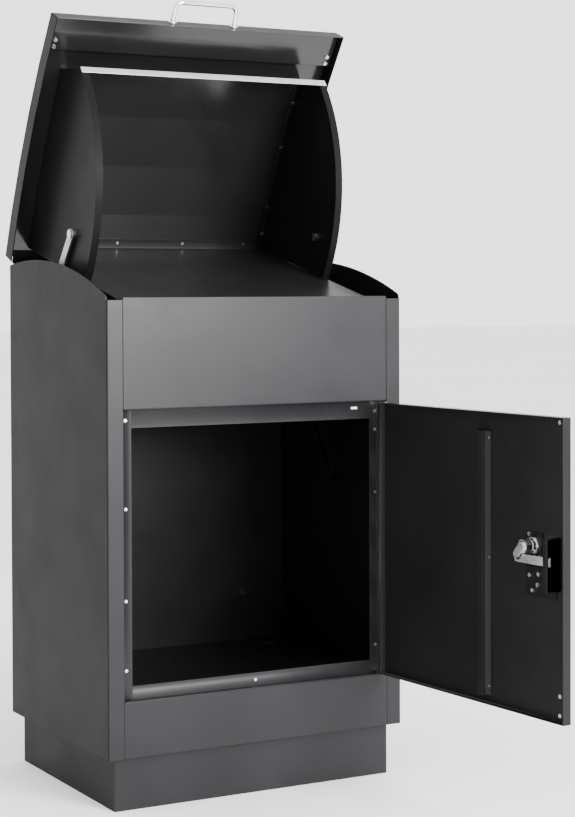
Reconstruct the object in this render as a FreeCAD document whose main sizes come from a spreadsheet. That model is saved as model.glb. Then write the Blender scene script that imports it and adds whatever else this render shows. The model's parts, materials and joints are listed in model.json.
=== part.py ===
import math
import os

import FreeCAD
import Part
import Sketcher

# Parcel drop box: a free-standing sheet-steel cabinet on a plinth. A lid with a hopper on
# its inside is hinged along the rear top edge, and a door on the right empties the box.
# Frame: +Z up, the front faces -Y, the origin is on the ground at the body's centre.
# The lid and the door stand open, which is the zero of every joint.

SIZES = (
    # cabinet
    ("body_width", 500.0), ("body_depth", 385.0), ("plinth_height", 80.0), ("front_height", 752.0),
    ("rear_height", 803.0), ("arc_rise", 25.0), ("corner_size", 8.0), ("sheet", 1.5),
    ("front_wrap", 25.0), ("seam", 0.5), ("rim", 16.0), ("floor_level", 160.0), ("bend_radius", 2.5),
    ("plinth_inset", 16.0), ("plinth_rear_inset", 10.0), ("plinth_sheet", 2.0),
    # door opening and its frame
    ("opening_bottom", 161.0), ("opening_top", 590.0), ("lip_setback", 17.5), ("jamb_lip", 19.5),
    ("top_lip", 28.0), ("bottom_lip", 19.0), ("frame_leg", 15.0),
    # door
    ("door_gap", 2.0), ("door_return", 15.0), ("door_axis_x", 221.0), ("door_axis_y", -196.0),
    ("door_open", 93.4), ("door_hinge_side", 218.0), ("knuckle_radius", 3.0), ("pin_radius", 1.5),
    ("running_gap", 0.05), ("leaf", 1.2),
    ("stiffener_x", -255.0), ("stiffener_width", 14.0), ("stiffener_height", 10.0),
    # lock and latch, measured from the door's hinge axis
    ("lock_x", -370.0), ("lock_height", 404.0), ("barrel_radius", 10.0), ("barrel_length", 29.0),
    ("barrel_proud", 2.0), ("collar_width", 4.0), ("nut_width", 3.0), ("nut_height", 5.0),
    ("plug_radius", 6.0), ("crank_radius", 17.0), ("crank_pin", 2.0), ("crank_sheet", 2.5),
    ("notch_gap", 0.9), ("bolt_drop", 17.0), ("bolt_width", 12.0), ("bolt_thickness", 4.0),
    ("bolt_setback", 24.0), ("bolt_tip", -423.0), ("bolt_tail", 8.0),
    ("case_far", -422.0), ("case_near", -413.0), ("case_bottom", 345.0), ("case_top", 419.0),
    ("foot_bottom", 333.0), ("foot_top", 373.0), ("foot_end", -350.0), ("foot_edge", -387.0),
    ("plate_half", 15.0), ("plate_sheet", 2.0),
    # lid, measured from its hinge axis with the lid shut
    ("lid_axis_y", 198.0), ("lid_axis_z", 801.0), ("lid_open", 68.0), ("lid_half_width", 252.5),
    ("lid_knuckle", 4.0), ("lid_pin", 2.0), ("skin_start", -13.5), ("skin_rise", 14.5),
    ("first_facet", 74.0), ("facet", 86.5), ("facet_bend", 3.2), ("lid_skirt", 28.0),
    ("rail_width", 54.0), ("rail_depth", 12.0),
    # hopper inside the lid
    ("cheek_half_width", 215.0), ("cheek_rise", 51.0), ("cheek_flange", 12.0),
    ("cheek_tilt", 66.2),
    ("mouth_y", -359.8), ("mouth_z", -89.8), ("heel_z", -220.0), ("mouth_slope", 58.9),
    ("edge_bar", 9.0),
    ("tray_top_y", -29.0), ("tray_tip_y", -88.8), ("tray_tip_z", -377.0), ("tray_flange", 16.0),
    ("baffle_back_y", -337.0),
    # lid stays
    ("stay_radius", 197.0), ("stay_shut", 233.9), ("stay_line", 238.0), ("stay_plane", 219.0),
    ("stay_width", 16.0), ("stay_sheet", 3.0), ("stay_pin", 3.5), ("slot_gap", 0.7),
    ("guide_plane", 226.0), ("guide_width", 26.0),
    # handle
    ("handle_span", 108.0), ("handle_reach", 34.0), ("handle_rod", 4.0), ("handle_bend", 12.0),
    # fasteners and fixings
    ("rivet_radius", 3.0), ("rivet_height", 1.2), ("screw_radius", 4.0), ("screw_height", 2.4),
    ("buffer_height", 1.6),
    ("anchor_x", 400.0), ("anchor_y", 290.0), ("anchor_hole", 5.5), ("anchor_tab", 50.0),
    ("wall_x", 340.0), ("wall_z", 300.0), ("wall_hole", 4.5), ("access_hole", 15.0),
)

doc = FreeCAD.newDocument("ParcelDropBox")
sheet = doc.addObject("Spreadsheet::Sheet", "Dims")
for row, (alias, number) in enumerate(SIZES, start=1):
    sheet.set("A%d" % row, alias)
    sheet.set("B%d" % row, str(number))
    sheet.setAlias("B%d" % row, alias)
doc.recompute()


class Size:
    """A length or an angle: its number, and the expression that binds it to the sheet."""

    def __init__(self, number, text):
        self.number = number
        self.text = text

    def __add__(self, other):
        other = as_size(other)
        return Size(self.number + other.number, "(%s + %s)" % (self.text, other.text))

    def __sub__(self, other):
        other = as_size(other)
        return Size(self.number - other.number, "(%s - %s)" % (self.text, other.text))

    def __mul__(self, other):
        other = as_size(other)
        return Size(self.number * other.number, "(%s * %s)" % (self.text, other.text))

    def __truediv__(self, other):
        other = as_size(other)
        return Size(self.number / other.number, "(%s / %s)" % (self.text, other.text))

    def __neg__(self):
        return Size(-self.number, "(0 - %s)" % self.text)

    def __radd__(self, other):
        return as_size(other) + self

    def __rsub__(self, other):
        return as_size(other) - self

    def __rmul__(self, other):
        return as_size(other) * self


def as_size(value):
    return value if isinstance(value, Size) else Size(float(value), repr(float(value)))


def cosine(angle):
    return Size(math.cos(math.radians(angle.number)), "cos(%s)" % angle.text)


def sine(angle):
    return Size(math.sin(math.radians(angle.number)), "sin(%s)" % angle.text)


def dim(alias):
    return Size(float(sheet.get(alias)), "Dims." + alias)


def bind(obj, prop, value):
    obj.setExpression(prop, as_size(value).text)


# ---------------------------------------------------------------- shapes

def place(obj, at):
    """Bind an object's position; its rotation stays as it is."""
    for axis, value in zip("xyz", at):
        bind(obj, "Placement.Base." + axis, value)
    return obj


def box(name, x, y, z):
    """A block between two values on each axis."""
    obj = doc.addObject("Part::Box", name)
    for prop, (low, high) in zip(("Length", "Width", "Height"), (x, y, z)):
        bind(obj, prop, as_size(high) - low)
    return place(obj, (x[0], y[0], z[0]))


TURNS = {
    "x": FreeCAD.Rotation(FreeCAD.Vector(0, 1, 0), 90),
    "y": FreeCAD.Rotation(FreeCAD.Vector(1, 0, 0), -90),
    "z": FreeCAD.Rotation(),
}


def rod(name, radius, at, axis, length):
    """A cylinder that starts at a point and runs along +X, +Y or +Z."""
    obj = doc.addObject("Part::Cylinder", name)
    obj.Placement = FreeCAD.Placement(FreeCAD.Vector(), TURNS[axis])
    bind(obj, "Radius", radius)
    bind(obj, "Height", length)
    return place(obj, at)


def span(side, near, far):
    """The x range of something on the right (side 1) or, mirrored, on the left (side -1)."""
    return (near, far) if side > 0 else (-as_size(far), -as_size(near))


def fuse(name, parts):
    obj = doc.addObject("Part::MultiFuse", name)
    obj.Shapes = parts
    obj.Refine = True
    return obj


def cut(name, base, tools):
    obj = doc.addObject("Part::Cut", name)
    obj.Base = base
    obj.Tool = tools[0] if len(tools) == 1 else fuse(name + "_tools", tools)
    return obj


def group(name, parts):
    """Separate solids that share one node."""
    obj = doc.addObject("Part::Compound", name)
    obj.Links = parts
    return obj


def plane(body, role):
    return [item for item in body.Origin.OriginFeatures if item.Role == role][0]


def draw(sketch, points, rises):
    """A closed outline; rises gives the height of an arc over the side that starts at a point."""
    count = len(points)
    starts = []
    ends = []
    for index in range(count):
        here = points[index]
        there = points[(index + 1) % count]
        first = FreeCAD.Vector(as_size(here[0]).number, as_size(here[1]).number, 0)
        last = FreeCAD.Vector(as_size(there[0]).number, as_size(there[1]).number, 0)
        if index in rises:
            chord = last - first
            height = as_size(rises[index]).number
            middle = (first + last) * 0.5 + FreeCAD.Vector(-chord.y, chord.x, 0).normalize() * height
            arc = Part.Arc(last, middle, first) if height > 0 else Part.Arc(first, middle, last)
            sketch.addGeometry(arc, False)
        else:
            sketch.addGeometry(Part.LineSegment(first, last), False)
        forward = sketch.Geometry[index].StartPoint.distanceToPoint(first) < 1e-6
        starts.append(1 if forward else 2)
        ends.append(2 if forward else 1)
    for index, (across, up) in enumerate(points):
        previous = (index - 1) % count
        sketch.addConstraint(
            Sketcher.Constraint("Coincident", previous, ends[previous], index, starts[index]))
        for kind, value in (("DistanceX", as_size(across)), ("DistanceY", as_size(up))):
            made = sketch.addConstraint(
                Sketcher.Constraint(kind, -1, 1, index, starts[index], value.number))
            bind(sketch, "Constraints[%d]" % made, value)
    for index, rise in rises.items():
        here = points[index]
        there = points[(index + 1) % count]
        across = as_size(there[0]) - here[0]
        up = as_size(there[1]) - here[1]
        height = as_size(rise)
        if height.number < 0:
            height = -height
        radius = ((across * across + up * up) / 4 + height * height) / (2 * height)
        made = sketch.addConstraint(Sketcher.Constraint("Radius", index, radius.number))
        bind(sketch, "Constraints[%d]" % made, radius)


def pad(name, points, length, rises=None, middle=False, role="YZ_Plane"):
    """A body padded from one outline: on YZ_Plane the outline is (y, z) and it grows along +X."""
    body = doc.addObject("PartDesign::Body", name)
    sketch = body.newObject("Sketcher::SketchObject", name + "_outline")
    sketch.AttachmentSupport = [(plane(body, role), "")]
    sketch.MapMode = "FlatFace"
    draw(sketch, points, rises or {})
    feature = body.newObject("PartDesign::Pad", name + "_pad")
    feature.Profile = sketch
    feature.Midplane = middle
    bind(feature, "Length", length)
    body.Tip = feature
    return body


def rounded(name, base, radius, wanted):
    """The base with the edges that wanted() picks rounded off."""
    doc.recompute()
    picked = [number for number, edge in enumerate(base.Shape.Edges, start=1) if wanted(edge)]
    if not picked:
        raise RuntimeError("no edge to round on " + name)
    obj = doc.addObject("Part::Fillet", name)
    obj.Base = base
    obj.Edges = [(number, radius.number, radius.number) for number in picked]
    return obj


def runs_through(axis, **at):
    """A test for straight edges along an axis that pass through the given coordinates."""
    def wanted(edge):
        if len(edge.Vertexes) != 2:
            return False
        first, last = (vertex.Point for vertex in edge.Vertexes)
        if (last - first).normalize().cross(FreeCAD.Vector(*axis)).Length > 1e-6:
            return False
        return all(abs(getattr(first, key) - value) < 1e-3 for key, value in at.items())
    return wanted


# ---------------------------------------------------------------- nodes

NODES = {}


def node(label, obj):
    obj.Label = label
    NODES[label] = obj
    return obj


def turn(obj, at, axis, angle):
    """Put a finished sub-part drawn about a pivot in its place, turned about that pivot."""
    obj.Placement = FreeCAD.Placement(FreeCAD.Vector(), FreeCAD.Rotation(FreeCAD.Vector(*axis), 1))
    bind(obj, "Placement.Rotation.Angle", angle)
    return place(obj, at)


def lid_node(label, obj, x=0):
    return node(label, turn(obj, (x, lid_y, lid_z), (1, 0, 0), -lid_open))


def door_node(label, obj):
    return node(label, turn(obj, (door_x, door_y, 0), (0, 0, 1), door_open))


half_width = dim("body_width") / 2
half_depth = dim("body_depth") / 2
base = dim("plinth_height")
front_top = dim("front_height")
rear_top = dim("rear_height")
steel = dim("sheet")
floor_top = dim("floor_level")
front = -half_depth
inner_front = front + steel
seam_x = half_width - dim("front_wrap")
opening_low = dim("opening_bottom")
opening_high = dim("opening_top")
lip_front = front + dim("lip_setback")
lid_y = dim("lid_axis_y")
lid_z = dim("lid_axis_z")
lid_open = dim("lid_open")
door_x = dim("door_axis_x")
door_y = dim("door_axis_y")
door_open = dim("door_open")
gap = dim("running_gap")
rivet = dim("rivet_radius")
rivet_head = dim("rivet_height")
screw = dim("screw_radius")
screw_head = dim("screw_height")


# ---------------------------------------------------------------- cabinet

def side_panel(label, side):
    """A side with its arched top, bent round the front corner and round the rear edge."""
    corner = dim("corner_size")
    bend = dim("bend_radius")
    crest = front_top - corner * 0.5
    outline = (
        (half_depth, base),
        (half_depth, rear_top),
        (front + corner, front_top + corner * 0.6),
        (front + bend, crest),
        (front + bend, base),
    )
    skin = pad(label + "_skin", outline, steel, {1: -dim("arc_rise"), 2: -(corner * 0.2)})
    place(skin, (half_width - steel if side > 0 else -half_width, 0, 0))
    wrap = (
        (side * half_width, front + bend),
        (side * (half_width - bend), front),
        (side * seam_x, front),
        (side * seam_x, inner_front),
        (side * (half_width - steel), inner_front),
        (side * (half_width - steel), front + bend),
    )
    sagitta = bend * (1 - math.sqrt(0.5))
    front_wrap = pad(label + "_front_wrap", wrap, crest - base, {0: side * sagitta}, role="XY_Plane")
    place(front_wrap, (0, 0, base))
    rear_x = span(side, half_width - dim("rim"), half_width - steel)
    rear_wrap = box(label + "_rear_wrap", rear_x, (half_depth - steel, half_depth), (base, rear_top - corner))
    node(label, fuse(label, [skin, front_wrap, rear_wrap]))


def front_panel(label, low, high, top_rim, bottom_rim):
    """A fixed front panel between the two wraps, with laps behind them."""
    reach = seam_x - dim("seam")
    parts = [box(label + "_face", (-reach, reach), (front, inner_front), (low, high))]
    lap_low = low + dim("rim")
    lap_high = high - dim("rim")
    for side in (-1, 1):
        near = seam_x - dim("rim")
        far = seam_x + dim("rim") * 0.75
        parts.append(box("%s_lap%d" % (label, side + 1), span(side, near, far),
                         (inner_front, inner_front + steel), (lap_low, lap_high)))
    for present, z in ((top_rim, (high - steel, high)), (bottom_rim, (low, low + steel))):
        if present:
            rim_y = (front, front + dim("rim"))
            parts.append(box("%s_rim%d" % (label, len(parts)), (-reach, reach), rim_y, z))
    node(label, fuse(label, parts))


def door_frame():
    """Four Z-shaped strips round the door opening, whose lips stop the door."""
    leg = (inner_front, inner_front + steel)
    web = (inner_front, lip_front + steel)
    lip = (lip_front, lip_front + steel)
    jamb_edge = seam_x - steel
    lip_edge = jamb_edge - dim("jamb_lip")
    heights = (opening_low + steel, opening_high - steel)
    for label, side in (("frame_jamb_left", -1), ("frame_jamb_right", 1)):
        strips = (
            (seam_x, half_width - steel, leg),
            (jamb_edge, seam_x, web),
            (lip_edge, jamb_edge, lip),
        )
        parts = []
        for number, (near, far, y) in enumerate(strips):
            parts.append(box("%s_strip%d" % (label, number), span(side, near, far), y, heights))
        node(label, fuse(label, parts))
    across = (-jamb_edge, jamb_edge)
    between = (-lip_edge, lip_edge)
    rails = (
        ("frame_rail_top", opening_high, 1, dim("top_lip")),
        ("frame_rail_bottom", opening_low, -1, dim("bottom_lip")),
    )
    for label, edge, way, reach in rails:
        strips = (
            (across, leg, (edge, edge + way * dim("frame_leg"))),
            (across, web, (edge - way * steel, edge)),
            (between, lip, (edge - way * (steel + reach), edge - way * steel)),
        )
        parts = []
        for number, (x, y, z) in enumerate(strips):
            if way < 0:
                z = (z[1], z[0])
            parts.append(box("%s_strip%d" % (label, number), x, y, z))
        node(label, fuse(label, parts))


def rear_panel():
    """The back, with a folded top edge and four holes for wall bolts."""
    inner = half_width - steel
    parts = [
        box("rear_face", (-inner + 0.2, inner - 0.2), (half_depth - 2 * steel, half_depth - steel),
            (base, rear_top - dim("corner_size"))),
        box("rear_fold", (-inner + dim("rim"), inner - dim("rim")),
            (half_depth - dim("rim"), half_depth - 2 * steel),
            (rear_top - dim("corner_size") - steel, rear_top - dim("corner_size"))),
        box("rear_pad", (-half_width + dim("rim"), half_width - dim("rim")),
            (half_depth - steel, half_depth), (base, rear_top - dim("corner_size"))),
    ]
    holes = []
    for x in (-1, 1):
        for z in (0, 1):
            holes.append(rod("wall_hole%d%d" % (x + 1, z), dim("wall_hole"),
                             (x * dim("wall_x") / 2, half_depth - dim("rim"), 240 + z * dim("wall_z")),
                             "y", dim("rim") * 2))
    node("rear_panel", cut("rear_panel", fuse("rear_whole", parts), holes))


def floors():
    """The parcel floor with tool holes over the anchors, and the base plate on the plinth."""
    inner = half_width - steel - 0.3
    y = (inner_front + 2 * steel, half_depth - 2 * steel)
    parts = [box("floor_face", (-inner, inner), y, (floor_top - steel, floor_top))]
    for side in (-1, 1):
        parts.append(box("floor_rim%d" % (side + 1), span(side, inner - steel, inner), y,
                         (floor_top - dim("rim"), floor_top)))
    holes = corner_rods("floor_hole", dim("access_hole"), floor_top - dim("rim"), dim("rim") * 2)
    node("parcel_floor", cut("parcel_floor", fuse("floor_whole", parts), holes))
    plate = box("base_face", (-inner, inner), y, (base, base + steel))
    holes = corner_rods("base_hole", dim("access_hole") + 5, base - 5, 15)
    node("base_plate", cut("base_plate", plate, holes))
    plugs = []
    caps = corner_rods("plug_cap", dim("access_hole") + 2.5, floor_top, 1.5)
    stems = corner_rods("plug_stem", dim("access_hole") - 0.3, floor_top - 6, 6)
    for number, (cap, stem) in enumerate(zip(caps, stems)):
        plugs.append(fuse("plug%d" % number, [cap, stem]))
    node("floor_plugs", group("floor_plugs", plugs))


def corner_rods(name, radius, z, length):
    """Four upright rods over the anchor holes."""
    made = []
    for x in (-1, 1):
        for y in (-1, 1):
            at = (x * dim("anchor_x") / 2, y * dim("anchor_y") / 2, z)
            made.append(rod("%s%d%d" % (name, x + 1, y + 1), radius, at, "z", length))
    return made


def plinth():
    """Four walls under the body and four tabs for anchor bolts."""
    wall = dim("plinth_sheet")
    x = half_width - dim("plinth_inset")
    y_front = front + dim("plinth_inset")
    y_rear = half_depth - dim("plinth_rear_inset")
    height = (0, base)
    face = box("plinth_face", (-x, x), (y_front, y_front + wall), height)
    corners = runs_through((0, 0, 1), y=y_front.number)
    node("plinth_front", rounded("plinth_front", face, wall * 0.9, corners))
    node("plinth_rear", box("plinth_rear", (-x, x), (y_rear - wall, y_rear), height))
    for label, side in (("plinth_left", -1), ("plinth_right", 1)):
        node(label, box(label, span(side, x - wall, x), (y_front + wall, y_rear - wall), height))
    half_tab = dim("anchor_tab") / 2
    tabs = []
    holes = corner_rods("anchor_hole", dim("anchor_hole"), -5, 15)
    centres = [(sx, sy) for sx in (-1, 1) for sy in (-1, 1)]
    for number, (sx, sy) in enumerate(centres):
        cx = sx * dim("anchor_x") / 2
        cy = sy * dim("anchor_y") / 2
        edge_x = x - wall
        edge_y = y_rear - wall if sy > 0 else -(y_front + wall)
        tab_x = (cx - half_tab, edge_x) if sx > 0 else (-edge_x, cx + half_tab)
        tab_y = (cy - half_tab, edge_y) if sy > 0 else (-edge_y, cy + half_tab)
        blank = box("tab%d_blank" % number, tab_x, tab_y, (0, 3))
        tabs.append(cut("tab%d" % number, blank, [holes[number]]))
    node("anchor_tabs", group("anchor_tabs", tabs))


def frame_rivets():
    """Rivet heads on the lips of the door frame, and a buffer on the right for the door."""
    parts = []
    side_x = seam_x - steel - dim("jamb_lip") / 2
    spots = [(-side_x, z) for z in (205, 307, 442, 572)] + [(side_x, z) for z in (205, 445, 543, 572)]
    spots.append((0, 171))
    for number, (x, z) in enumerate(spots):
        parts.append(rod("frame_rivet%d" % number, rivet * 0.8, (x, lip_front - rivet_head * 0.8, z), "y",
                         rivet_head * 0.8))
    node("frame_rivets", group("frame_rivets", parts))
    buffer_y = (lip_front - dim("buffer_height"), lip_front)
    node("door_buffer", box("door_buffer", (170, 181), buffer_y, (576, 579.5)))


# ---------------------------------------------------------------- hinges

def door_hinge():
    """A continuous hinge up the right edge; the fixed leaf is on the jamb."""
    radius = dim("knuckle_radius")
    leaf = dim("leaf")
    low = opening_low + steel + dim("door_gap")
    high = opening_high - steel - dim("door_gap")
    wall = seam_x - steel
    plate_front = front + 0.3

    def fixed_web(stations):
        if stations is None:
            return box("door_leaf_fixed_plate", (wall - leaf, wall), (plate_front, lip_front - 1),
                       (low, high))
        return box("door_leaf_fixed_web", (wall - leaf, wall), (door_y, plate_front), stations)

    def moving_web(stations):
        near = dim("door_hinge_side") - door_x
        if stations is None:
            return box("door_leaf_moving_plate", (near, near + leaf),
                       (plate_front - door_y, front + dim("door_return") - door_y), (low, high))
        return box("door_leaf_moving_web", (near, near + leaf), (0, plate_front - door_y), stations)

    step = (high - low) / 11
    fixed = [fixed_web(None)]
    moving = [moving_web(None)]
    for number in range(11):
        start = low + number * step + 0.3
        length = step - 0.6
        if number % 2 == 0:
            fixed.append(rod("door_knuckle%d" % number, radius, (door_x, door_y, start), "z", length))
            fixed.append(fixed_web((start, start + length)))
        else:
            moving.append(rod("door_knuckle%d" % number, radius, (0, 0, start), "z", length))
            moving.append(moving_web((start, start + length)))
    pin = dim("pin_radius")
    bore = rod("door_leaf_fixed_bore", pin + gap, (door_x, door_y, low - 5), "z", high - low + 10)
    node("door_leaf_fixed", cut("door_leaf_fixed", fuse("door_leaf_fixed_whole", fixed), [bore]))
    bore = rod("door_leaf_moving_bore", pin + gap, (0, 0, low - 5), "z", high - low + 10)
    door_node("door_leaf_moving", cut("door_leaf_moving", fuse("door_leaf_moving_whole", moving), [bore]))
    node("door_hinge_pin", rod("door_hinge_pin", pin, (door_x, door_y, low), "z", high - low))


def lid_hinge():
    """A continuous hinge along the rear top edge."""
    radius = dim("lid_knuckle")
    low = -(half_width - 10)
    length = (half_width - 10) * 2
    step = length / 13
    wall = half_depth
    plate_z = (lid_z - 34, lid_z - radius - 0.5)
    fixed = [box("lid_leaf_fixed_plate", (low, -low), (wall, wall + steel), plate_z)]
    under = dim("skin_rise") - steel
    moving = [
        box("lid_leaf_moving_plate", (low, -low), (-radius, steel - radius), (radius + 0.5, under)),
        box("lid_leaf_moving_flange", (low, -low), (dim("skin_start") - 10, steel - radius),
            (under - steel, under)),
    ]
    for number in range(13):
        start = low + number * step + 0.3
        run = step - 0.6
        if number % 2 == 0:
            fixed.append(rod("lid_knuckle%d" % number, radius, (start, lid_y, lid_z), "x", run))
            fixed.append(box("lid_knuckle_web%d" % number, (start, start + run), (wall, wall + steel + 1),
                             (lid_z - radius - 0.5, lid_z)))
        else:
            moving.append(rod("lid_knuckle%d" % number, radius, (start, 0, 0), "x", run))
            moving.append(box("lid_knuckle_web%d" % number, (start, start + run), (-radius, steel - radius),
                              (0, radius + 0.5)))
    pin = dim("lid_pin")
    bore = rod("lid_leaf_fixed_bore", pin + gap, (low - 5, lid_y, lid_z), "x", length + 10)
    node("lid_leaf_fixed", cut("lid_leaf_fixed", fuse("lid_leaf_fixed_whole", fixed), [bore]))
    bore = rod("lid_leaf_moving_bore", pin + gap, (low - 5, 0, 0), "x", length + 10)
    lid_node("lid_leaf_moving", cut("lid_leaf_moving", fuse("lid_leaf_moving_whole", moving), [bore]))
    node("lid_hinge_pin", rod("lid_hinge_pin", pin, (low, lid_y, lid_z), "x", length))


# ---------------------------------------------------------------- door

door_near = dim("door_hinge_side") - door_x
door_far = steel + dim("door_gap") - seam_x - door_x
door_low = opening_low + steel + dim("door_gap")
door_high = opening_high - steel - dim("door_gap")
door_face = front - door_y
door_inner = door_face + steel
lock_x = dim("lock_x")
lock_z = dim("lock_height")
bolt_z = lock_z - dim("bolt_drop")


def door_panel():
    """The door's skin with a return on all four edges."""
    y = (door_face, door_face + dim("door_return"))
    parts = [
        box("door_face", (door_far, door_near), (door_face, door_inner), (door_low, door_high)),
        box("door_return_far", (door_far, door_far + steel), y, (door_low, door_high)),
        box("door_return_near", (door_near - steel, door_near), y, (door_low, door_high)),
        box("door_return_low", (door_far, door_near), y, (door_low, door_low + steel)),
        box("door_return_high", (door_far, door_near), y, (door_high - steel, door_high)),
    ]
    hole = rod("door_lock_hole", dim("barrel_radius") + gap, (lock_x, 0, lock_z), "y", 20)
    pierced = cut("door_pierced", fuse("door_whole", parts), [hole])
    edge = runs_through((0, 0, 1), x=door_far.number, y=door_face.number)
    door_node("door_panel", rounded("door_panel", pierced, dim("bend_radius") * 0.8, edge))


def door_stiffener():
    """A hat channel down the middle of the door's inner face."""
    middle = dim("stiffener_x")
    half = dim("stiffener_width") / 2
    crest = door_inner + dim("stiffener_height")
    wall = 1.2
    z = (door_low + 10, door_high - 28)
    parts = [
        box("stiffener_crest", (middle - half, middle + half), (crest - wall, crest), z),
        box("stiffener_leg0", (middle - half, middle - half + wall), (door_inner, crest), z),
        box("stiffener_leg1", (middle + half - wall, middle + half), (door_inner, crest), z),
        box("stiffener_foot0", (middle - half - 9, middle - half), (door_inner, door_inner + wall), z),
        box("stiffener_foot1", (middle + half, middle + half + 9), (door_inner, door_inner + wall), z),
    ]
    door_node("door_stiffener", fuse("door_stiffener", parts))


def lock():
    """A cylinder lock whose crank throws a flat bolt behind the jamb's lip."""
    radius = dim("barrel_radius")
    outside = door_face - dim("barrel_proud")
    inside = outside + dim("barrel_length")
    plate_back = door_inner + dim("plate_sheet")
    groove_at = inside - dim("barrel_length") * 0.42
    shell = fuse("barrel_whole", [
        rod("barrel_shell", radius, (lock_x, outside, lock_z), "y", dim("barrel_length")),
        rod("barrel_collar", radius + dim("collar_width"), (lock_x, outside, lock_z), "y",
            dim("barrel_proud")),
    ])
    ring = cut("barrel_groove", rod("groove_outer", radius + 1, (lock_x, groove_at, lock_z), "y", 1.5),
               [rod("groove_inner", radius - 1, (lock_x, groove_at, lock_z), "y", 1.5)])
    bore = rod("barrel_bore", dim("plug_radius") + gap, (lock_x, 0, lock_z), "y", dim("barrel_length") * 2)
    door_node("lock_barrel", cut("lock_barrel", shell, [bore, ring]))
    side = dim("plate_half")
    plate = box("lock_plate_blank", (lock_x - side, lock_x + side), (door_inner, plate_back),
                (lock_z - side - 3, lock_z + side + 3))
    hole = rod("lock_plate_hole", radius + gap, (lock_x, 0, lock_z), "y", dim("barrel_length"))
    door_node("lock_plate", cut("lock_plate", plate, [hole]))
    nut = doc.addObject("Part::Prism", "lock_nut_blank")
    nut.Polygon = 6
    nut.Placement = FreeCAD.Placement(FreeCAD.Vector(), TURNS["y"])
    bind(nut, "Circumradius", radius + dim("nut_width"))
    bind(nut, "Height", dim("nut_height"))
    place(nut, (lock_x, plate_back, lock_z))
    nut_bore = rod("nut_bore", radius + gap, (lock_x, 0, lock_z), "y", dim("barrel_length"))
    door_node("lock_nut", cut("lock_nut", nut, [nut_bore]))
    crank_front = inside + 0.5
    plug = rod("plug_shaft", dim("plug_radius"), (lock_x, outside - 0.4, lock_z), "y",
               crank_front - outside + 0.4)
    keyway = box("plug_keyway", (lock_x - 0.8, lock_x + 0.8), (outside - 1, outside + 12),
                 (lock_z - 3.5, lock_z + 3.5))
    door_node("lock_plug", cut("lock_plug", plug, [keyway]))
    crank(crank_front)


def crank(front_face):
    """The crank on the plug's end; its pin stands in the bolt's notch. It also places the bolt."""
    reach = dim("crank_radius") * math.sqrt(0.5)
    wide = dim("plug_radius")
    narrow = wide - 1
    outline = ((0, -wide), (dim("crank_radius"), -narrow), (dim("crank_radius"), narrow), (0, wide))
    arm = pad("crank_arm", outline, dim("crank_sheet"), {1: -narrow * 0.8, 3: -wide * 0.8}, role="XZ_Plane")
    arm.Placement = FreeCAD.Placement(FreeCAD.Vector(), FreeCAD.Rotation(FreeCAD.Vector(0, 1, 0), 45))
    place(arm, (lock_x, front_face + dim("crank_sheet"), lock_z))
    pin_start = dim("bolt_setback") - 0.5
    pin = rod("crank_pin", dim("crank_pin"), (lock_x + reach, pin_start, lock_z - reach), "y",
              front_face - pin_start + 1)
    door_node("lock_crank", fuse("lock_crank", [arm, pin]))
    slide(reach)


def slide(reach):
    """The flat bolt, with a notch for the crank's pin; it is drawn back at rest."""
    half = dim("bolt_width") / 2
    y = (dim("bolt_setback"), dim("bolt_setback") + dim("bolt_thickness"))
    bar = box("bolt_bar", (dim("bolt_tip"), lock_x + reach + dim("bolt_tail")), y,
              (bolt_z - half, bolt_z + half))
    clear = dim("crank_pin") + dim("notch_gap")
    notch = box("bolt_notch", (lock_x + reach - clear, lock_x + reach + clear), (y[0] - 1, y[1] + 1),
                (lock_z - dim("crank_radius") - clear, lock_z))
    door_node("latch_bolt", cut("latch_bolt", bar, [notch]))


def latch_case():
    """A folded case over the bolt, open towards the free edge, with a foot beside the lock."""
    far = dim("case_far")
    near = dim("case_near")
    low = dim("case_bottom")
    high = dim("case_top")
    crest = dim("bolt_setback") + dim("bolt_thickness") + 0.5
    parts = [
        box("case_top", (far, near), (crest, crest + steel), (low, high)),
        box("case_wall0", (far, near), (door_inner, crest + steel), (low, low + steel)),
        box("case_wall1", (far, near), (door_inner, crest + steel), (high - steel, high)),
        box("case_end", (near - steel, near), (door_inner, crest + steel), (low, high)),
        box("case_foot", (near - steel, dim("foot_end")), (door_inner, door_inner + steel),
            (dim("foot_bottom"), dim("foot_top"))),
    ]
    half = dim("bolt_width") / 2 + 0.5
    window = box("case_window", (near - steel - 2, near + 2), (dim("bolt_setback") - 0.5, crest),
                 (bolt_z - half, bolt_z + half))
    door_node("latch_case", cut("latch_case", fuse("case_whole", parts), [window]))


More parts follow.
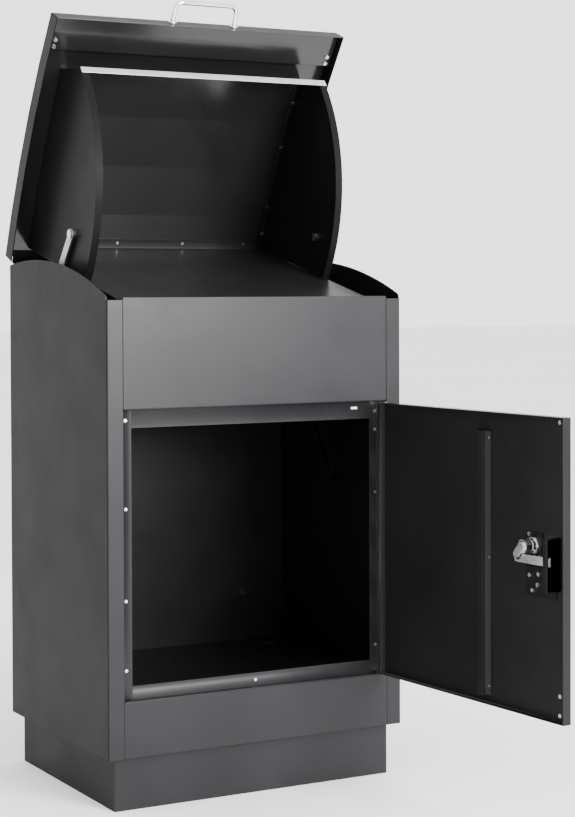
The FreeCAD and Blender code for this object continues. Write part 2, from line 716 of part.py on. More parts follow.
def door_fasteners():
    """Screws of the lock plate and the case, and rivets of the stiffener and the corners."""
    screws = []
    near = dim("foot_edge")
    spread = dim("foot_end") - near
    foot_high = dim("foot_top") - dim("foot_bottom")
    spots = ((0.24, 0.78), (0.76, 0.70), (0.30, 0.40), (0.60, 0.18))
    for number, (across, up) in enumerate(spots):
        at = (near + spread * across, door_inner + steel, dim("foot_bottom") + foot_high * up)
        screws.append(rod("foot_screw%d" % number, screw * 0.75, at, "y", screw_head))
    plate_back = door_inner + dim("plate_sheet")
    for number, way in enumerate((-1, 1)):
        at = (lock_x + way * 11.5, plate_back, lock_z + 15 * way)
        screws.append(rod("plate_screw%d" % number, screw * 0.7, at, "y", screw_head))
    door_node("lock_screws", group("lock_screws", screws))
    rivets = []
    inside = door_far + steel + 19
    for number, z in enumerate((door_low + 9, door_low + 36, door_high - 8)):
        rivets.append(rod("corner_rivet%d" % number, rivet, (inside, door_inner, z), "y", rivet_head * 1.6))
    foot = dim("stiffener_x") - dim("stiffener_width") / 2 - 4.5
    for number, z in enumerate((door_low + 24, (door_low + door_high) / 2, door_high - 38)):
        rivets.append(rod("stiffener_rivet%d" % number, rivet * 0.7, (foot, door_inner + 1.2, z), "y",
                          rivet_head))
    door_node("door_rivets", group("door_rivets", rivets))


# ---------------------------------------------------------------- lid

def skin_points():
    """The outer bends of the lid's skin from its rear edge to its front edge."""
    y = dim("skin_start")
    z = dim("skin_rise")
    points = [(y, z)]
    for number in range(5):
        length = dim("first_facet") if number == 0 else dim("facet")
        slope = dim("facet_bend") * number
        y = y - length * cosine(slope)
        z = z - length * sine(slope)
        points.append((y, z))
    return points


SKIN = skin_points()
SKIN_FRONT = SKIN[5]
front_slope = dim("facet_bend") * 4
UNDER = [(y, z - steel) for y, z in SKIN[:5]]
UNDER.append((SKIN_FRONT[0] + steel, SKIN_FRONT[1] - steel + steel * sine(front_slope) / cosine(front_slope)))
tray_y = dim("tray_top_y")
tray_z = dim("skin_rise") - steel
tip_y = dim("tray_tip_y")
tip_z = dim("tray_tip_z")
mouth = (dim("mouth_y"), dim("mouth_z"))
heel_z = dim("heel_z")
heel_y = tray_y + (tip_y - tray_y) * (tray_z - heel_z) / (tray_z - tip_z)
baffle_y = dim("baffle_back_y")
baffle_slope = dim("facet_bend") * 3
baffle_z = UNDER[3][1] - (UNDER[3][0] - baffle_y) * sine(baffle_slope) / cosine(baffle_slope)


def lid_stud(name, radius, x, facet, run, depth, height):
    """A round head on the lid's inside, square to a facet, at a run from that facet's rear bend."""
    slope = dim("facet_bend") * facet
    y = SKIN[facet][0] - run * cosine(slope)
    z = SKIN[facet][1] - run * sine(slope) - depth
    return turn(rod(name, radius, (0, 0, 0), "z", height), (x, y, z), (1, 0, 0), 180 + slope)


def strip(points, depth):
    """A thin outline that follows a row of points, with its other side lower by a depth."""
    return list(points) + [(y, z - depth) for y, z in reversed(points)]


def lid_shell():
    """The bent skin with its front flange, and an end cap on each side."""
    wide = dim("lid_half_width") * 2
    y_front, z_front = SKIN_FRONT
    low = z_front - dim("lid_skirt")
    outline = SKIN + [(y_front, low), (y_front + steel, low)] + UNDER[5::-1]
    blank = pad("lid_skin_blank", outline, wide, middle=True)
    edge = runs_through((1, 0, 0), y=y_front.number, z=z_front.number)
    lid_node("lid_skin", rounded("lid_skin", blank, dim("bend_radius") * 0.5, edge))
    for label, side in (("lid_end_left", -1), ("lid_end_right", 1)):
        cap = pad(label, strip(UNDER, dim("lid_skirt") - steel), steel)
        lid_node(label, cap, dim("lid_half_width") - steel if side > 0 else -dim("lid_half_width"))


def lid_rail():
    """A channel that stiffens the front of the lid."""
    start = dim("facet") - 5
    ends = []
    for run in (start, start - dim("rail_width")):
        ends.append((UNDER[4][0] - run * cosine(front_slope), UNDER[4][1] - run * sine(front_slope) - gap))
    (y1, z1), (y2, z2) = ends
    depth = dim("rail_depth")
    web = depth - steel
    lift = steel * sine(front_slope) / cosine(front_slope)
    outline = (
        (y1, z1), (y1, z1 - depth), (y2, z2 - depth), (y2, z2),
        (y2 - steel, z2 - lift), (y2 - steel, z2 - web - lift),
        (y1 + steel, z1 - web + lift), (y1 + steel, z1 + lift),
    )
    long = (dim("lid_half_width") - steel - 0.3) * 2
    lid_node("lid_front_rail", pad("lid_front_rail", outline, long, middle=True))
    screws = []
    for side in (-1, 1):
        for number, share in enumerate((0.1, 0.32)):
            screws.append(lid_stud("rail_screw%d%d" % (side + 1, number), screw * 0.8,
                                   side * (dim("lid_half_width") - 11.5), 4,
                                   start - dim("rail_width") * (1 - share), steel + depth + gap,
                                   screw_head))
    lid_node("rail_screws", group("rail_screws", screws))


def cheek(label, side):
    """A side plate of the hopper with its curved front edge and a flange under the skin."""
    outer = dim("cheek_half_width")
    heel = (heel_y, heel_z)
    back = [(tray_y, tray_z), UNDER[1], UNDER[2], UNDER[3], (baffle_y, baffle_z)]
    rise = -dim("cheek_rise")
    plate = pad(label + "_plate", back + [mouth, heel], steel, rises={5: rise})
    tilt_y = steel * cosine(dim("cheek_tilt"))
    tilt_z = steel * sine(dim("cheek_tilt"))
    shifted = [(heel[0] + tilt_y, heel[1] + tilt_z), (mouth[0] + tilt_y, mouth[1] + tilt_z)]
    curve = pad(label + "_curve", [mouth, heel] + shifted, dim("cheek_flange"),
                rises={0: rise, 2: dim("cheek_rise")})
    roof = pad(label + "_roof", strip(back, steel), dim("cheek_flange"))
    far = outer if side > 0 else -outer
    place(plate, (far - steel if side > 0 else far, 0, 0))
    for flange in (curve, roof):
        place(flange, (far - dim("cheek_flange") if side > 0 else far, 0, 0))
    whole = fuse(label + "_whole", [plate, curve, roof])
    y, z = stay_pivot()
    hole = rod(label + "_hole", screw, (far - 20, y, z), "x", 40)
    lid_node(label, cut(label, whole, [hole]))


def hopper():
    """The tray, the baffle and the bright edge bar between the cheeks."""
    outer = dim("cheek_half_width")
    inside = (outer - dim("cheek_flange")) * 2 - 1
    flange_y = tray_y - dim("tray_flange")
    top = pad("tray_flange", (
        (tray_y, tray_z), (flange_y, tray_z), (flange_y, tray_z - steel), (tray_y - 1, tray_z - steel),
        (tray_y - 1, tray_z - 4 * steel), (tray_y, tray_z - 4 * steel)), inside, middle=True)
    slope = (tip_y - tray_y) / (tip_z - tray_z)
    plate = pad("tray_plate", (
        (tray_y + 0.2, tray_z), (tip_y + 0.2, tip_z), (tip_y + 10, tip_z), (tip_y + 10, tip_z + steel),
        (tip_y + 0.2 + steel + slope * steel, tip_z + steel), (tray_y + steel, tray_z)),
        outer * 2, middle=True)
    lid_node("hopper_tray", fuse("hopper_tray", [plate, top]))
    reach = 0.96
    low = (baffle_y + (mouth[0] - baffle_y) * reach, baffle_z + (mouth[1] - baffle_z) * reach)
    outline = ((baffle_y, baffle_z), low, (low[0] + steel, low[1]), (baffle_y + steel, baffle_z - 0.2))
    baffle = pad("hopper_baffle", outline, (outer - dim("cheek_flange")) * 2 - 0.4, middle=True)
    lid_node("hopper_baffle", baffle)
    along = (cosine(dim("mouth_slope")), -sine(dim("mouth_slope")))
    outward = (-sine(dim("mouth_slope")), -cosine(dim("mouth_slope")))
    corners = []
    for run, lift in ((-2, 0.1), (dim("edge_bar"), 0.1), (dim("edge_bar"), steel), (-2, steel)):
        corners.append((mouth[0] + along[0] * run + outward[0] * lift,
                        mouth[1] + along[1] * run + outward[1] * lift))
    lid_node("hopper_edge_bar", pad("hopper_edge_bar", corners, outer * 2, middle=True))


def lid_rivets():
    """Rivets that hold the cheeks and the tray to the skin."""
    parts = []
    spots = ((0, 45), (1, 20), (2, 44), (3, 40))
    for side in (-1, 1):
        for facet, run in spots:
            name = "cheek_rivet%d%d" % (side + 1, facet)
            x = side * (dim("cheek_half_width") - 6)
            parts.append(lid_stud(name, rivet, x, facet, run, 2 * steel, rivet_head))
    run = dim("skin_start") - tray_y + dim("tray_flange") * 0.6
    for number, x in enumerate((-176, -60, 60, 176)):
        parts.append(lid_stud("tray_rivet%d" % number, rivet * 0.8, x, 0, run, 2 * steel, rivet_head))
    lid_node("lid_rivets", group("lid_rivets", parts))


def handle():
    """A round bow on the lid's front flange, held by two screws from inside."""
    y_front, z_front = SKIN_FRONT
    z = z_front - dim("lid_skirt") * 0.55
    half = dim("handle_span") / 2
    bend = dim("handle_bend")
    thick = dim("handle_rod")
    y_grip = y_front - dim("handle_reach")
    parts = [rod("handle_grip", thick, (bend - half, y_grip, z), "x", (half - bend) * 2)]
    for side in (-1, 1):
        x = side * half
        parts.append(rod("handle_leg%d" % (side + 1), thick, (x, y_grip + bend, z), "y",
                         dim("handle_reach") - bend))
        parts.append(rod("handle_foot%d" % (side + 1), thick * 1.7, (x, y_front - 2.5, z), "y", 2.5))
        corner = doc.addObject("Part::Torus", "handle_bend%d" % (side + 1))
        corner.Angle3 = 90
        quarter = FreeCAD.Rotation(FreeCAD.Vector(0, 0, 1), -90 if side > 0 else 180)
        corner.Placement = FreeCAD.Placement(FreeCAD.Vector(), quarter)
        bind(corner, "Radius1", bend)
        bind(corner, "Radius2", thick)
        place(corner, (side * (half - bend), y_grip + bend, z))
        parts.append(corner)
    lid_node("handle_bow", fuse("handle_bow", parts))
    screws = [rod("handle_screw%d" % (side + 1), screw, (side * half, y_front + steel, z), "y", screw_head)
              for side in (-1, 1)]
    lid_node("handle_screws", group("handle_screws", screws))


# ---------------------------------------------------------------- lid stays

stay_radius = dim("stay_radius")
stay_open = dim("stay_shut") - lid_open
stay_line = dim("stay_line")


def stay_pivot():
    """The stay's pivot on the cheek, measured from the lid's axis with the lid shut."""
    return stay_radius * cosine(dim("stay_shut")), stay_radius * sine(dim("stay_shut"))


def stay_arm(label, side):
    """An arm that hangs on the cheek, with a pin that slides in the guide.

    The arm is as long as its pivot is from the lid's axis, so the pin runs on a straight
    line through that axis and the arm turns twice as fast as the lid, the other way."""
    near = dim("stay_plane")
    far = near + dim("stay_sheet")
    half = dim("stay_width") / 2
    x = span(side, near, far)
    start = x[0]
    thick = dim("stay_sheet")
    bar = fuse(label + "_bar", [
        box(label + "_strap", x, (0, stay_radius), (-half, half)),
        rod(label + "_eye", half, (start, 0, 0), "x", thick),
        rod(label + "_end", half, (start, stay_radius, 0), "x", thick),
    ])
    hole = rod(label + "_hole", screw + gap, (start - 5, 0, 0), "x", 20)
    place_at = (0, lid_y + stay_radius * cosine(stay_open), lid_z + stay_radius * sine(stay_open))
    angle = 2 * stay_line - stay_open
    node(label, turn(cut(label, bar, [hole]), place_at, (1, 0, 0), angle))
    pin_x = span(side, far, far + 15)
    head_x = span(side, dim("guide_plane") + steel + 1, dim("guide_plane") + steel + 4)
    pin = fuse(label + "_pin_whole", [
        rod(label + "_shank", dim("stay_pin"), (pin_x[0], stay_radius, 0), "x", 15),
        rod(label + "_head", dim("stay_pin") + 3, (head_x[0], stay_radius, 0), "x", 3),
    ])
    node(label.replace("arm", "pin"), turn(pin, place_at, (1, 0, 0), angle))


def stay_bolt(label, side):
    """The shoulder bolt that the arm turns on, with its collar and nut."""
    y, z = stay_pivot()
    cheek_x = dim("cheek_half_width")
    near = dim("stay_plane")
    far = near + dim("stay_sheet")
    pieces = (
        ("shank", screw - 0.02, cheek_x - steel - 4, far + 1),
        ("nut", screw * 1.6, cheek_x - steel - 4, cheek_x - steel),
        ("collar", screw * 1.5, cheek_x, near - 0.3),
        ("head", screw * 1.8, far + 0.3, far + 2.6),
    )
    parts = []
    for name, radius, low, high in pieces:
        x = span(side, low, high)
        parts.append(rod("%s_%s" % (label, name), radius, (x[0], y, z), "x", as_size(high) - low))
    lid_node(label, fuse(label, parts))


def stay_guide(label, side):
    """A slotted channel on the side panel; its slot points at the lid's axis."""
    near = dim("guide_plane")
    half = dim("guide_width") / 2
    first = 2 * stay_radius * cosine(stay_line - stay_open)
    last = 2 * stay_radius * cosine(stay_line - dim("stay_shut"))
    wall = half_width - steel
    y = (first - 15, last + 15)
    parts = [box(label + "_web", span(side, near, near + steel), y, (-half, half))]
    for way in (-1, 1):
        z = (half - steel, half) if way > 0 else (-half, steel - half)
        parts.append(box("%s_wall%d" % (label, way + 1), span(side, near, wall), y, z))
    clear = dim("stay_pin") + dim("slot_gap")
    start = span(side, near - 5, near + 10)[0]
    tools = [
        box(label + "_slot", span(side, near - 5, near + 10), (first, last), (-clear, clear)),
        rod(label + "_slot_top", clear, (start, first, 0), "x", 15),
        rod(label + "_slot_foot", clear, (start, last, 0), "x", 15),
    ]
    channel = cut(label, fuse(label + "_whole", parts), tools)
    node(label, turn(channel, (0, lid_y, lid_z), (1, 0, 0), stay_line))


# ---------------------------------------------------------------- build and write

side_panel("side_panel_left", -1)
side_panel("side_panel_right", 1)
front_panel("front_panel_upper", opening_high, front_top, True, False)
front_panel("front_panel_lower", base, opening_low, False, False)
door_frame()
rear_panel()
floors()
plinth()
frame_rivets()
door_hinge()
lid_hinge()
door_panel()
door_stiffener()
lock()
latch_case()
door_fasteners()
lid_shell()
lid_rail()
cheek("hopper_cheek_left", -1)
cheek("hopper_cheek_right", 1)
hopper()
lid_rivets()
handle()
for stay_label, stay_side in (("left", -1), ("right", 1)):
    stay_arm("stay_arm_" + stay_label, stay_side)
    stay_bolt("stay_bolt_" + stay_label, stay_side)
    stay_guide("stay_guide_" + stay_label, stay_side)

doc.recompute()
failed = [item.Name for item in doc.Objects if "Invalid" in item.State or "Error" in item.State]
if failed:
    raise RuntimeError("failed objects: " + ", ".join(failed))
os.makedirs("parts", exist_ok=True)
for label, obj in NODES.items():
    if obj.Shape.isNull() or not obj.Shape.isValid() or not obj.Shape.Solids:
        raise RuntimeError("bad shape: " + label)
    obj.Shape.exportStep("parts/%s.step" % label)
    low = obj.Shape.BoundBox
    print("%-20s %d solids %8.1f cm3  x %7.1f %7.1f  y %7.1f %7.1f  z %7.1f %7.1f" % (
        label, len(obj.Shape.Solids), obj.Shape.Volume / 1000,
        low.XMin, low.XMax, low.YMin, low.YMax, low.ZMin, low.ZMax))
print(len(NODES), "nodes")
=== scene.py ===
import json
import math

import bmesh
import bpy
from mathutils import Matrix, Vector


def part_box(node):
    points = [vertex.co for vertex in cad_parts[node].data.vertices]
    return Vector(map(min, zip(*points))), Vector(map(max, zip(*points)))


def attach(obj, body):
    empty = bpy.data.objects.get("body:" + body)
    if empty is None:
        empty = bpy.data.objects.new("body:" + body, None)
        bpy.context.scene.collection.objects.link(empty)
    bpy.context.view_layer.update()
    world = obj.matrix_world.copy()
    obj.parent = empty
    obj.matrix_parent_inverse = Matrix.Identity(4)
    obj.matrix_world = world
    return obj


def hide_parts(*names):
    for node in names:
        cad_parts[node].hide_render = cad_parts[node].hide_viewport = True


# The parcel drop box with its lid and door open. The sheets of the frame are replaced with copies
# whose bends are rounded; fasteners, hinges and the lock keep their frame meshes. All of them get
# node-based finishes, on a plain pale floor under soft studio light.

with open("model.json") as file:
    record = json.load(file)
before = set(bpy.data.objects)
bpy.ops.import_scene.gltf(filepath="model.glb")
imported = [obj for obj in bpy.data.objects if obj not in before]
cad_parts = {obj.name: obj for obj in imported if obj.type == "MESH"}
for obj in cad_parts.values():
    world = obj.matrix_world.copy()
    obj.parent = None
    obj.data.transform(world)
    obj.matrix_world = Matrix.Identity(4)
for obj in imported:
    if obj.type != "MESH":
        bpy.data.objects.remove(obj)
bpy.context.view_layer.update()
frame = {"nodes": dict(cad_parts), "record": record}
NODES = frame["nodes"]
BODIES = frame["record"]["behaviour"]["bodies"]
BODY_OF = {node: body for body, nodes in BODIES.items() for node in nodes}


# ---------------------------------------------------------------- shader helpers

class Shader:
    """A small helper that adds nodes to one material and wires them up."""

    def __init__(self, name):
        self.material = bpy.data.materials.new(name)
        self.material.use_nodes = True
        self.tree = self.material.node_tree
        self.surface = self.tree.nodes["Principled BSDF"]
        self.place = self.add("ShaderNodeTexCoord").outputs["Object"]

    def add(self, kind, **values):
        node = self.tree.nodes.new(kind)
        for key, value in values.items():
            setattr(node, key, value)
        return node

    def join(self, output, target):
        self.tree.links.new(output, target)

    def noise(self, scale, detail=4.0, roughness=0.55, stretch=(1, 1, 1)):
        mapping = self.add("ShaderNodeMapping")
        mapping.inputs["Scale"].default_value = stretch
        self.join(self.place, mapping.inputs["Vector"])
        node = self.add("ShaderNodeTexNoise")
        node.inputs["Scale"].default_value = scale
        node.inputs["Detail"].default_value = detail
        node.inputs["Roughness"].default_value = roughness
        self.join(mapping.outputs["Vector"], node.inputs["Vector"])
        return node.outputs["Fac"]

    def remap(self, value, low, high, from_low=0.3, from_high=0.7):
        node = self.add("ShaderNodeMapRange")
        node.inputs["From Min"].default_value = from_low
        node.inputs["From Max"].default_value = from_high
        node.inputs["To Min"].default_value = low
        node.inputs["To Max"].default_value = high
        self.join(value, node.inputs["Value"])
        return node.outputs["Result"]

    def ramp(self, value, stops):
        node = self.add("ShaderNodeValToRGB")
        ramp = node.color_ramp
        while len(ramp.elements) < len(stops):
            ramp.elements.new(0.5)
        for element, (position, color) in zip(ramp.elements, stops):
            element.position = position
            element.color = (*color, 1)
        self.join(value, node.inputs["Fac"])
        return node.outputs["Color"]

    def mix(self, share, first, second):
        node = self.add("ShaderNodeMix", data_type="RGBA")
        # Inputs 6 and 7 are the two colours of this node.
        pairs = ((share, node.inputs["Factor"]), (first, node.inputs[6]), (second, node.inputs[7]))
        for value, socket in pairs:
            if hasattr(value, "is_linked"):
                self.join(value, socket)
            else:
                socket.default_value = value if isinstance(value, float) else (*value, 1)
        return node.outputs[2]

    def bump(self, heights, distance):
        """Stack several height outputs into the surface's normal."""
        normal = None
        for height, strength in heights:
            node = self.add("ShaderNodeBump")
            node.inputs["Strength"].default_value = strength
            node.inputs["Distance"].default_value = distance
            self.join(height, node.inputs["Height"])
            if normal:
                self.join(normal, node.inputs["Normal"])
            normal = node.outputs["Normal"]
        self.join(normal, self.surface.inputs["Normal"])

    def set(self, **values):
        for key, value in values.items():
            self.surface.inputs[key.replace("_", " ")].default_value = value


# ---------------------------------------------------------------- finishes

def powder_coat(name, base, light, rough, specular):
    """Fine-textured powder coat: an orange-peel skin, cloudy tone, light specks and smudges."""
    sh = Shader(name)
    patches = sh.noise(5.0, 5.0, 0.6)
    grain = sh.noise(900.0, 2.0, 0.5)
    peel = sh.noise(260.0, 3.0, 0.5)
    color = sh.ramp(patches, ((0.30, base), (0.72, light)))
    speck = sh.remap(grain, 0.0, 0.25, 0.55, 0.80)
    color = sh.mix(speck, color, tuple(c * 2.1 for c in light))
    sh.join(color, sh.surface.inputs["Base Color"])
    smudge = sh.noise(11.0, 6.0, 0.7)
    sh.join(sh.remap(smudge, rough[0], rough[1]), sh.surface.inputs["Roughness"])
    sh.bump(((peel, 0.10), (grain, 0.06)), 0.0004)
    sh.set(Metallic=0.0, IOR=1.5, Specular_IOR_Level=specular)
    return sh.material


def bare_steel(name, dark, light, rough):
    """Rolled or zinc-plated steel with a drawn grain and a cloudy tone."""
    sh = Shader(name)
    cloud = sh.noise(18.0, 5.0, 0.6)
    drawn = sh.noise(60.0, 3.0, 0.6, (1, 1, 40))
    sh.join(sh.ramp(cloud, ((0.3, dark), (0.7, light))), sh.surface.inputs["Base Color"])
    sh.join(sh.remap(drawn, rough[0], rough[1]), sh.surface.inputs["Roughness"])
    sh.bump(((drawn, 0.08), (sh.noise(240.0, 2.0), 0.05)), 0.0003)
    sh.set(Metallic=1.0)
    return sh.material


def plated(name, color, rough):
    """Bright plating with faint wipe marks."""
    sh = Shader(name)
    wipes = sh.noise(26.0, 4.0, 0.6, (1, 1, 6))
    wiped = tuple(c * 0.86 for c in color)
    sh.join(sh.ramp(wipes, ((0.3, wiped), (0.7, color))), sh.surface.inputs["Base Color"])
    sh.join(sh.remap(wipes, rough, rough + 0.09), sh.surface.inputs["Roughness"])
    sh.bump(((sh.noise(140.0, 2.0), 0.03),), 0.0002)
    sh.set(Metallic=1.0)
    return sh.material


def plastic(name, dark, light, rough, specular=0.5):
    """Moulded plastic with a fine spark-eroded texture."""
    sh = Shader(name)
    sh.join(sh.ramp(sh.noise(30.0, 4.0), ((0.3, dark), (0.7, light))), sh.surface.inputs["Base Color"])
    sh.join(sh.remap(sh.noise(80.0, 3.0), rough - 0.06, rough + 0.06), sh.surface.inputs["Roughness"])
    sh.bump(((sh.noise(700.0, 2.0), 0.12),), 0.0003)
    sh.set(Specular_IOR_Level=specular)
    return sh.material


# Coats: the darker and the lighter tone, the range of roughness, and the specular level. The outside coat is
# the paint's own colour; the others are copies of it made darker as painted shade or lighter as painted
# light.
OUTSIDE = powder_coat("coat_outside", (0.0085, 0.0088, 0.0096), (0.0125, 0.0128, 0.0140), (0.30, 0.40), 0.22)
# Painted shade: a darker, duller copy of the outside coat for the faces turned away from the lamps, on the
# sides, rear, plinth, hopper cheeks and lid outside.
SHADED_SIDE_COAT = powder_coat("coat_sides_painted_shade", (0.0036, 0.0037, 0.0041), (0.0056, 0.0058, 0.0064), (0.36, 0.46), 0.05)
# Painted shade: a near-black copy of the coat for the cabinet's inner faces, floor, latch case and lock
# plate, where shade falls.
SHADED_INSIDE_COAT = powder_coat("coat_inside_painted_shade", (0.0020, 0.0020, 0.0022), (0.0034, 0.0034, 0.0036), (0.34, 0.46), 0.16)
# Painted light: a lighter, glossier copy of the coat for the lid's inner faces and its front rail, so the
# lid's inside reads lighter than its outside.
LIT_LID_INSIDE_COAT = powder_coat("coat_lid_inside_painted_light", (0.0066, 0.0066, 0.0071), (0.0098, 0.0098, 0.0104),
                     (0.12, 0.18), 0.60)
# Painted shade: a darker copy of the outside coat for the door, its stiffener and the hopper tray and
# baffle.
SHADED_DOOR_AND_HOPPER_COAT = powder_coat("coat_door_and_hopper_painted_shade", (0.0056, 0.0056, 0.0060), (0.0088, 0.0088, 0.0094),
                   (0.30, 0.40), 0.16)
STEEL = bare_steel("zinc_steel", (0.46, 0.47, 0.48), (0.64, 0.65, 0.66), (0.22, 0.38))
SHEET = bare_steel("galvanised_sheet", (0.30, 0.31, 0.32), (0.44, 0.45, 0.46), (0.32, 0.5))
CHROME = plated("chrome_plate", (0.80, 0.81, 0.83), 0.06)
NICKEL = plated("nickel_plate", (0.72, 0.71, 0.68), 0.18)
BLACK = plastic("black_plastic", (0.003, 0.003, 0.003), (0.005, 0.005, 0.005), 0.55, 0.15)
WHITE = plastic("white_plastic", (0.70, 0.70, 0.67), (0.80, 0.80, 0.78), 0.4)


# ---------------------------------------------------------------- rounded sheets

WELD = 1e-6             # vertices nearer than this are one
FLAT = 0.6              # degrees between faces that are merged into one
CORNER = 25             # degrees from which an edge is rounded
FOLD_SPAN = 0.006       # both faces of a fold reach further than this from it
RIM = 0.0004            # rounding of the other edges, which are cut
SMOOTH = 60             # degrees up to which shading runs on over an edge
CRISP = 1.5             # the same for the shallow bends of FACETED sheets
FACETED = ("lid_skin",)


def edge_span(edge, face):
    """How far a face reaches from one of its edges."""
    first, last = (vertex.co for vertex in edge.verts)
    along = (last - first).normalized()
    return max(((v.co - first) - along * (v.co - first).dot(along)).length for v in face.verts)


def weigh_edges(mesh, fold):
    """Clean a mesh and give its corners bevel weights: 1 on folds, less on cut edges."""
    shape = bmesh.new()
    shape.from_mesh(mesh)
    bmesh.ops.remove_doubles(shape, verts=shape.verts, dist=WELD)
    bmesh.ops.dissolve_limit(shape, angle_limit=math.radians(FLAT), verts=shape.verts, edges=shape.edges)
    weight = shape.edges.layers.float.new("bevel_weight_edge")
    for edge in shape.edges:
        if len(edge.link_faces) != 2 or edge.calc_face_angle(0) <= math.radians(CORNER):
            continue
        if edge.is_convex:
            wide = min(edge_span(edge, face) for face in edge.link_faces) > FOLD_SPAN
            edge[weight] = 1.0 if wide else RIM / fold
    shape.to_mesh(mesh)
    shape.free()


def soften(node, material, fold):
    """Replace a CAD node with the same shape, its folds bent round and its cut edges broken."""
    mesh = NODES[node].data.copy()
    piece = bpy.data.objects.new("round_" + node, mesh)
    bpy.context.scene.collection.objects.link(piece)
    weigh_edges(mesh, fold)
    bevel = piece.modifiers.new("bends", "BEVEL")
    bevel.limit_method = "WEIGHT"
    bevel.width = fold
    bevel.segments = 3
    mesh.materials.clear()
    mesh.materials.append(material)
    mesh.shade_smooth()
    mesh.set_sharp_from_angle(angle=math.radians(CRISP if node in FACETED else SMOOTH))
    weighted = piece.modifiers.new("normals", "WEIGHTED_NORMAL")
    weighted.keep_sharp = True
    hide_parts(node)
    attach(piece, BODY_OF[node])
    return piece


def tint(piece, material, wanted):
    """Give the faces that wanted() picks a finish of their own; here that paints a lit or shaded copy of the
    coat on them.
    """
    mesh = piece.data
    mesh.materials.append(material)
    for face in mesh.polygons:
        if wanted(face):
            face.material_index = len(mesh.materials) - 1


def looks_towards(middle):
    """A test for faces on the side of a sheet that looks towards a middle point."""
    return lambda face: face.normal.dot((middle - face.center).normalized()) > 0.2


def on_front(face):
    """True for faces of the cabinet's front plane."""
    return face.normal.y < -0.7 and face.center.y < -0.185


def coat(node, material):
    """Give a CAD node a finish and keep its mesh."""
    mesh = NODES[node].data
    mesh.materials.clear()
    mesh.materials.append(material)


# ---------------------------------------------------------------- the box

# Painted shade and light per face: inward faces of the cabinet sheets take the shaded inside coat, the side
# panels' front faces the lit outside coat, and the lid's inward faces the lit lid coat.
SHADED_IN_CABINET = looks_towards(Vector((0, 0, 0.40)))
LIT_IN_LID = looks_towards(Vector((0, -0.10, 0.95)))
TINTS = {
    "side_panel_left": ((OUTSIDE, on_front), (SHADED_INSIDE_COAT, SHADED_IN_CABINET)),
    "side_panel_right": ((OUTSIDE, on_front), (SHADED_INSIDE_COAT, SHADED_IN_CABINET)),
    "rear_panel": ((SHADED_INSIDE_COAT, SHADED_IN_CABINET),),
    "front_panel_upper": ((SHADED_INSIDE_COAT, SHADED_IN_CABINET),),
    "lid_skin": ((LIT_LID_INSIDE_COAT, LIT_IN_LID),),
}

FINISHES = (
    (SHADED_SIDE_COAT, ("side_panel_left", "side_panel_right", "rear_panel", "plinth_rear", "plinth_left",
            "plinth_right")),
    (OUTSIDE, ("front_panel_upper", "front_panel_lower", "plinth_front", "frame_jamb_left",
               "frame_jamb_right", "frame_rail_top", "frame_rail_bottom")),
    (LIT_LID_INSIDE_COAT, ("lid_front_rail",)),
    (SHADED_DOOR_AND_HOPPER_COAT, ("hopper_tray", "hopper_baffle", "door_panel", "door_stiffener")),
    (SHADED_SIDE_COAT, ("hopper_cheek_left", "hopper_cheek_right", "lid_skin", "lid_end_left", "lid_end_right")),
    # Painted shade: the inner parts, the latch case and lock plate among them, take the near-black shaded
    # inside coat.
    (SHADED_INSIDE_COAT, ("parcel_floor", "base_plate", "latch_case", "lock_plate", "stay_guide_left",
              "stay_guide_right")),
    (SHEET, ("stay_arm_left", "stay_arm_right", "anchor_tabs")),
    (STEEL, ("door_leaf_fixed", "door_leaf_moving", "door_hinge_pin", "lid_hinge_pin", "hopper_edge_bar",
             "stay_bolt_left", "stay_bolt_right", "frame_rivets", "lid_rivets", "rail_screws",
             "door_rivets", "lock_screws", "latch_bolt", "lock_crank", "stay_pin_left", "stay_pin_right",
             "handle_screws", "lock_nut")),
    (BLACK, ("floor_plugs", "lid_leaf_fixed", "lid_leaf_moving")),
    (WHITE, ("door_buffer",)),
    (CHROME, ("handle_bow",)),
    (NICKEL, ("lock_barrel", "lock_plug")),
)
# Radii of the folds, in metres; a node that isn't listed keeps its frame mesh.
FOLDS = (
    (0.0022, ("side_panel_left", "side_panel_right")),
    (0.0020, ("lid_skin", "lid_front_rail", "door_panel")),
    (0.0018, ("front_panel_upper", "front_panel_lower", "rear_panel", "door_stiffener", "latch_case")),
    (0.0016, ("hopper_cheek_left", "hopper_cheek_right", "hopper_tray")),
    (0.0014, ("frame_jamb_left", "frame_jamb_right", "frame_rail_top", "frame_rail_bottom",
              "stay_guide_left", "stay_guide_right", "parcel_floor")),
    (0.0010, ("plinth_front",)),
    (0.0008, ("plinth_left", "plinth_right", "plinth_rear")),
    (0.0007, ("lid_end_left", "lid_end_right", "hopper_baffle", "lock_plate", "stay_arm_left",
              "stay_arm_right")),
    (0.0005, ("hopper_edge_bar", "door_buffer")),
)
ROUNDED = {name: fold for fold, names in FOLDS for name in names}

for finish, names in FINISHES:
    for name in names:
        if name not in ROUNDED:
            coat(name, finish)
            continue
        sheet = soften(name, finish, ROUNDED[name])
        for second, wanted in TINTS.get(name, ()):
            tint(sheet, second, wanted)


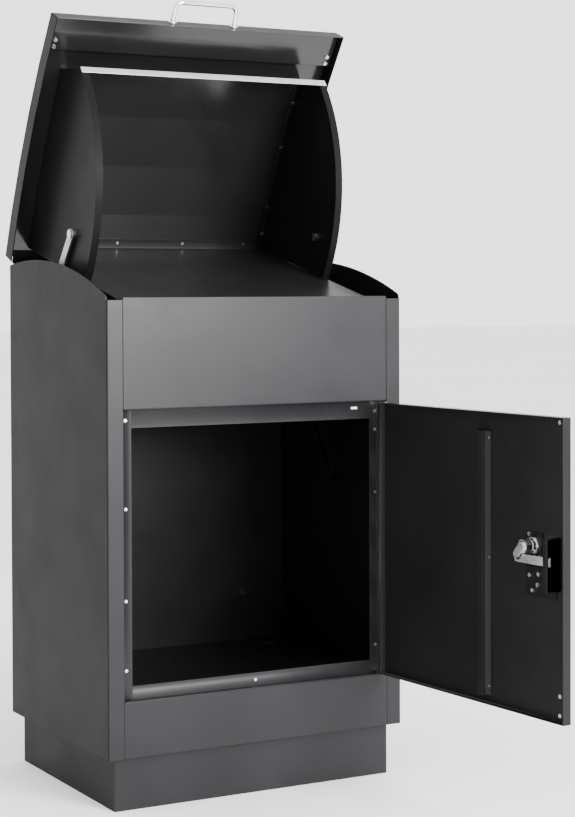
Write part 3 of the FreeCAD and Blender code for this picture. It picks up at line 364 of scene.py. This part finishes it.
def plug(name, x, z):
    """A blanking plug on the inside of a wall-bolt hole, its narrow end facing the front."""
    radius = 0.0085
    height = 0.0024
    rear_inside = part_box("parcel_floor")[1][1]
    middle = Vector((x, rear_inside - height / 2, z))
    turned = Matrix.Translation(middle) @ Matrix.Rotation(math.radians(90), 4, "X")
    mesh = bpy.data.meshes.new(name)
    shape = bmesh.new()
    bmesh.ops.create_cone(shape, cap_ends=True, segments=40, radius1=radius, radius2=radius * 0.7,
                          depth=height, matrix=turned)
    shape.to_mesh(mesh)
    shape.free()
    mesh.materials.append(BLACK)
    piece = bpy.data.objects.new(name, mesh)
    bpy.context.scene.collection.objects.link(piece)
    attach(piece, "cabinet")


WALL_HOLES_X = (-0.17, 0.17)
WALL_HOLES_Z = (0.24, 0.54)

for column, hole_x in enumerate(WALL_HOLES_X):
    for row, hole_z in enumerate(WALL_HOLES_Z):
        plug("wall_plug_%d%d" % (column, row), hole_x, hole_z)


# ---------------------------------------------------------------- stage, light and camera

def pale_floor():
    """A plain pale floor that runs far past the view."""
    half = 30.0
    mesh = bpy.data.meshes.new("floor")
    corners = [(-half, -half, 0), (half, -half, 0), (half, half, 0), (-half, half, 0)]
    mesh.from_pydata(corners, [], [(0, 1, 2, 3)])
    floor = bpy.data.objects.new("floor", mesh)
    bpy.context.scene.collection.objects.link(floor)
    sh = Shader("floor_white")
    sh.join(sh.ramp(sh.noise(0.8), ((0.3, (0.82, 0.82, 0.82)), (0.7, (0.85, 0.85, 0.85)))),
            sh.surface.inputs["Base Color"])
    sh.set(Roughness=0.9)
    mesh.materials.append(sh.material)


def softbox(name, at, target, size, power):
    """A rectangular area light that faces a target point."""
    data = bpy.data.lights.new(name, "AREA")
    data.shape = "RECTANGLE"
    data.size, data.size_y = size
    data.energy = power
    lamp = bpy.data.objects.new(name, data)
    bpy.context.scene.collection.objects.link(lamp)
    lamp.location = at
    lamp.rotation_euler = (Vector(target) - Vector(at)).to_track_quat("-Z", "Y").to_euler()


def studio():
    """An even white surround, a key from the front above, and a soft light on the upper front."""
    world = bpy.data.worlds.new("studio")
    bpy.context.scene.world = world
    world.use_nodes = True
    world.node_tree.nodes["Background"].inputs["Color"].default_value = (1, 1, 1, 1)
    world.node_tree.nodes["Background"].inputs["Strength"].default_value = 2.6
    softbox("key", (0.5, -3.0, 2.6), (0, 0, 0.8), (1.4, 1.2), 110)
    softbox("front", (0.75, -2.95, 1.15), (0, 0, 0.67), (0.9, 0.8), 150)


def photo_camera():
    """The camera from the front left, a little above the middle of the box."""
    yaw, pitch, roll = (math.radians(angle) for angle in (29.085, 1.151, -0.193))
    image_height = 817
    sensor = 36.0
    focal_length = 1933.6 / image_height
    data = bpy.data.cameras.new("camera")
    data.sensor_fit = "AUTO"
    data.sensor_width = sensor
    data.lens = focal_length * sensor
    data.shift_y = -80.0 / image_height
    camera = bpy.data.objects.new("camera", data)
    bpy.context.scene.collection.objects.link(camera)
    forward = Vector((math.sin(yaw) * math.cos(pitch), math.cos(yaw) * math.cos(pitch), -math.sin(pitch)))
    level = Vector((math.cos(yaw), -math.sin(yaw), 0))
    upward = level.cross(forward)
    right = level * math.cos(roll) + upward * math.sin(roll)
    up = upward * math.cos(roll) - level * math.sin(roll)
    turn = Matrix((right, up, -forward)).transposed().to_4x4()
    camera.matrix_world = Matrix.Translation((-1.3768, -2.7546, 0.7623)) @ turn
    bpy.context.scene.camera = camera


pale_floor()
studio()
photo_camera()
